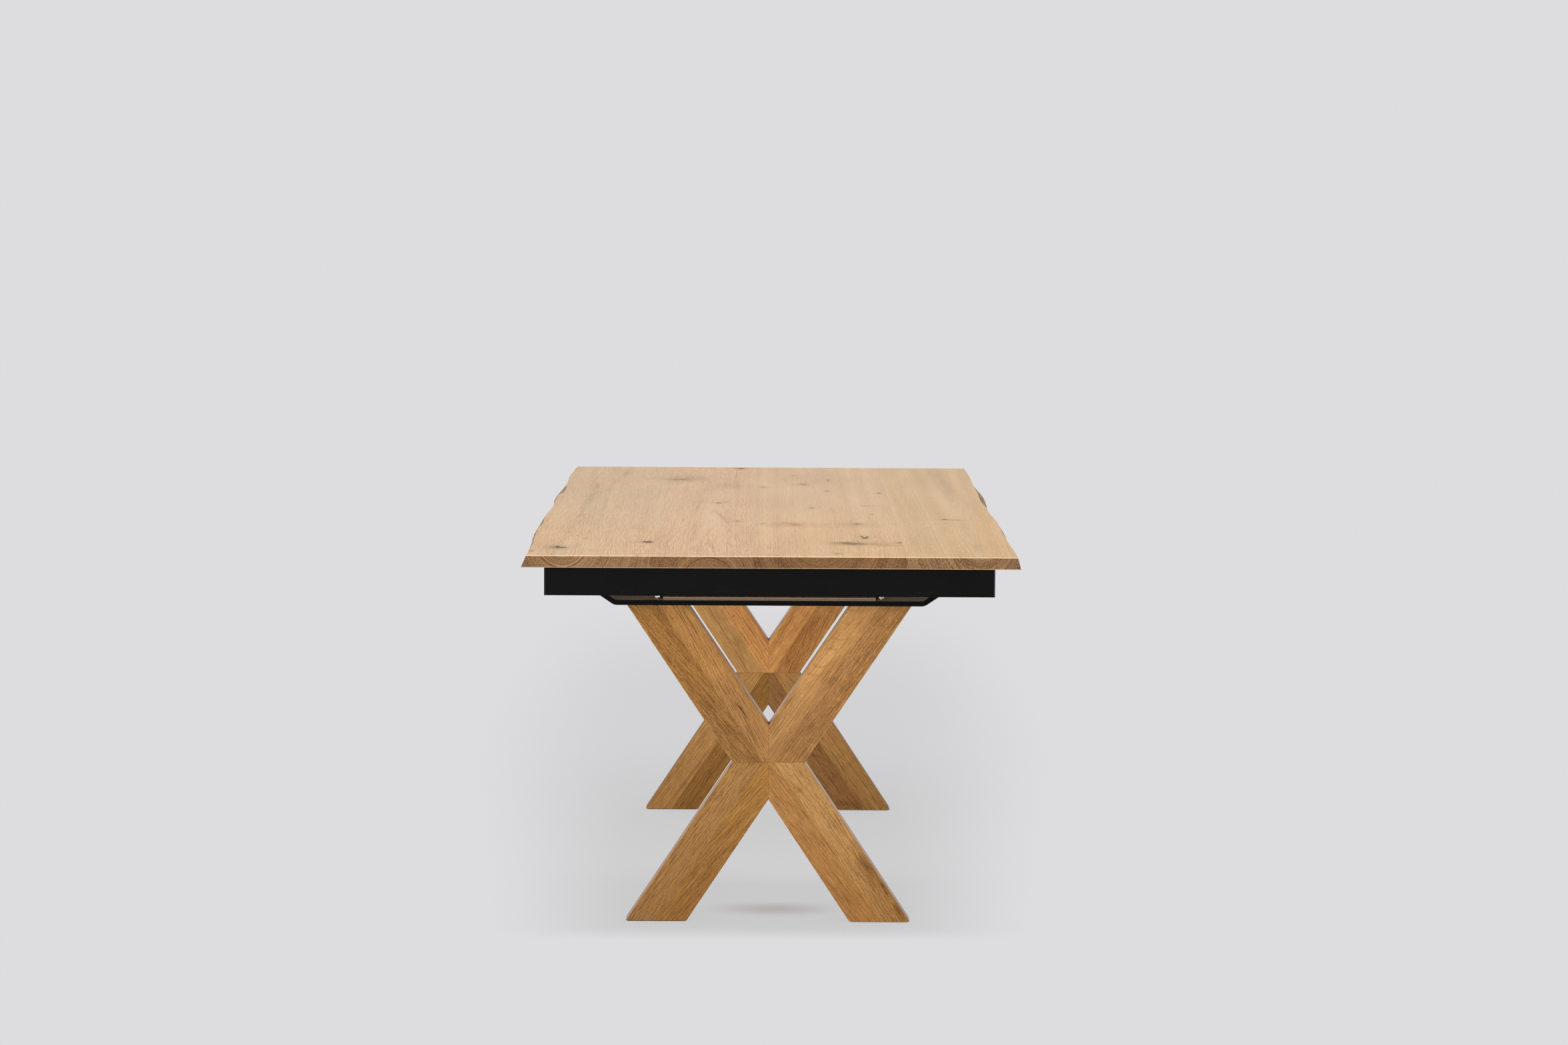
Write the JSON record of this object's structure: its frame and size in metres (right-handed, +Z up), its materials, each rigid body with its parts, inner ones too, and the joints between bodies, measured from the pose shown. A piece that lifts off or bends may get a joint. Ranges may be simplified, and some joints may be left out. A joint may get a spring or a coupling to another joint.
{
  "type": "extending sawbuck dining table",
  "caption": "Dining table with a live-edge oak top on X-shaped oak legs; its end frames pull out to carry loose leaves stored under the top.",
  "frame": {"origin": "on the floor under the middle of the top", "axes": "+Z up; +Y along the length of the top, from the front end to the back end; +X to the right seen from the front end"},
  "size_m": [0.9587, 2, 0.76],
  "materials": {
    "beech": "raw",
    "black_plastic": "matt",
    "black_steel": "fine satin powder coat",
    "felt": "felt",
    "oak_legs": "oiled oak",
    "oak_top": "matt oiled, knotty live-edge oak",
    "shelf_board": "matt veneered board",
    "zinc_steel": "bright zinc plate"
  },
  "bodies": {
    "table": {"bow_back": "black_steel", "bow_front": "black_steel", "cross_stiffener_1": "black_steel", "cross_stiffener_2": "black_steel", "cross_stiffener_3": "black_steel", "cross_stiffener_4": "black_steel", "foot_pads": "black_plastic", "leaf_shelf": "shelf_board", "leg_back_dowels": "beech", "leg_back_lower_left_beam": "oak_legs", "leg_back_lower_right_beam": "oak_legs", "leg_back_upper_left_beam": "oak_legs", "leg_back_upper_right_beam": "oak_legs", "leg_bolt_washers": "zinc_steel", "leg_bolts": "zinc_steel", "leg_front_dowels": "beech", "leg_front_lower_left_beam": "oak_legs", "leg_front_lower_right_beam": "oak_legs", "leg_front_upper_left_beam": "oak_legs", "leg_front_upper_right_beam": "oak_legs", "leg_inserts": "zinc_steel", "rail_mouth_liners": "black_plastic", "rail_screws": "zinc_steel", "side_rail_left": "black_steel", "side_rail_right": "black_steel", "stiffener_screws": "zinc_steel", "tie_bar_left": "black_steel", "tie_bar_right": "black_steel", "top_board_left_edge": "oak_top", "top_board_mid_left": "oak_top", "top_board_mid_right": "oak_top", "top_board_right_edge": "oak_top", "travel_stop_screws": "zinc_steel"},
    "front_pull_out": {"front_apron": "black_steel", "front_apron_caps": "black_plastic", "front_glide_blocks": "black_plastic", "front_slide_tube_left": "black_steel", "front_slide_tube_right": "black_steel"},
    "back_pull_out": {"back_apron": "black_steel", "back_apron_caps": "black_plastic", "back_glide_blocks": "black_plastic", "back_slide_tube_left": "black_steel", "back_slide_tube_right": "black_steel"},
    "lower_leaf": {"lower_leaf_board_left_edge": "oak_top", "lower_leaf_board_mid_left": "oak_top", "lower_leaf_board_mid_right": "oak_top", "lower_leaf_board_right_edge": "oak_top", "lower_leaf_felt_strips": "felt"},
    "upper_leaf": {"upper_leaf_board_left_edge": "oak_top", "upper_leaf_board_mid_left": "oak_top", "upper_leaf_board_mid_right": "oak_top", "upper_leaf_board_right_edge": "oak_top", "upper_leaf_felt_strips": "felt"}
  },
  "joints": [
    {"name": "front_pull_out_slide", "type": "slide", "parent": "table", "child": "front_pull_out", "axis": [0, -1, 0], "range_m": [0, 0.5]},
    {"name": "back_pull_out_slide", "type": "slide", "parent": "table", "child": "back_pull_out", "axis": [0, 1, 0], "range_m": [0, 0.5]},
    {"name": "lower_leaf_slide", "type": "slide", "parent": "table", "child": "lower_leaf", "axis": [1, 0, 0], "range_m": [-0.45, 0.45]},
    {"name": "upper_leaf_slide", "type": "slide", "parent": "lower_leaf", "child": "upper_leaf", "axis": [1, 0, 0], "range_m": [-0.45, 0.45]}
  ]
}
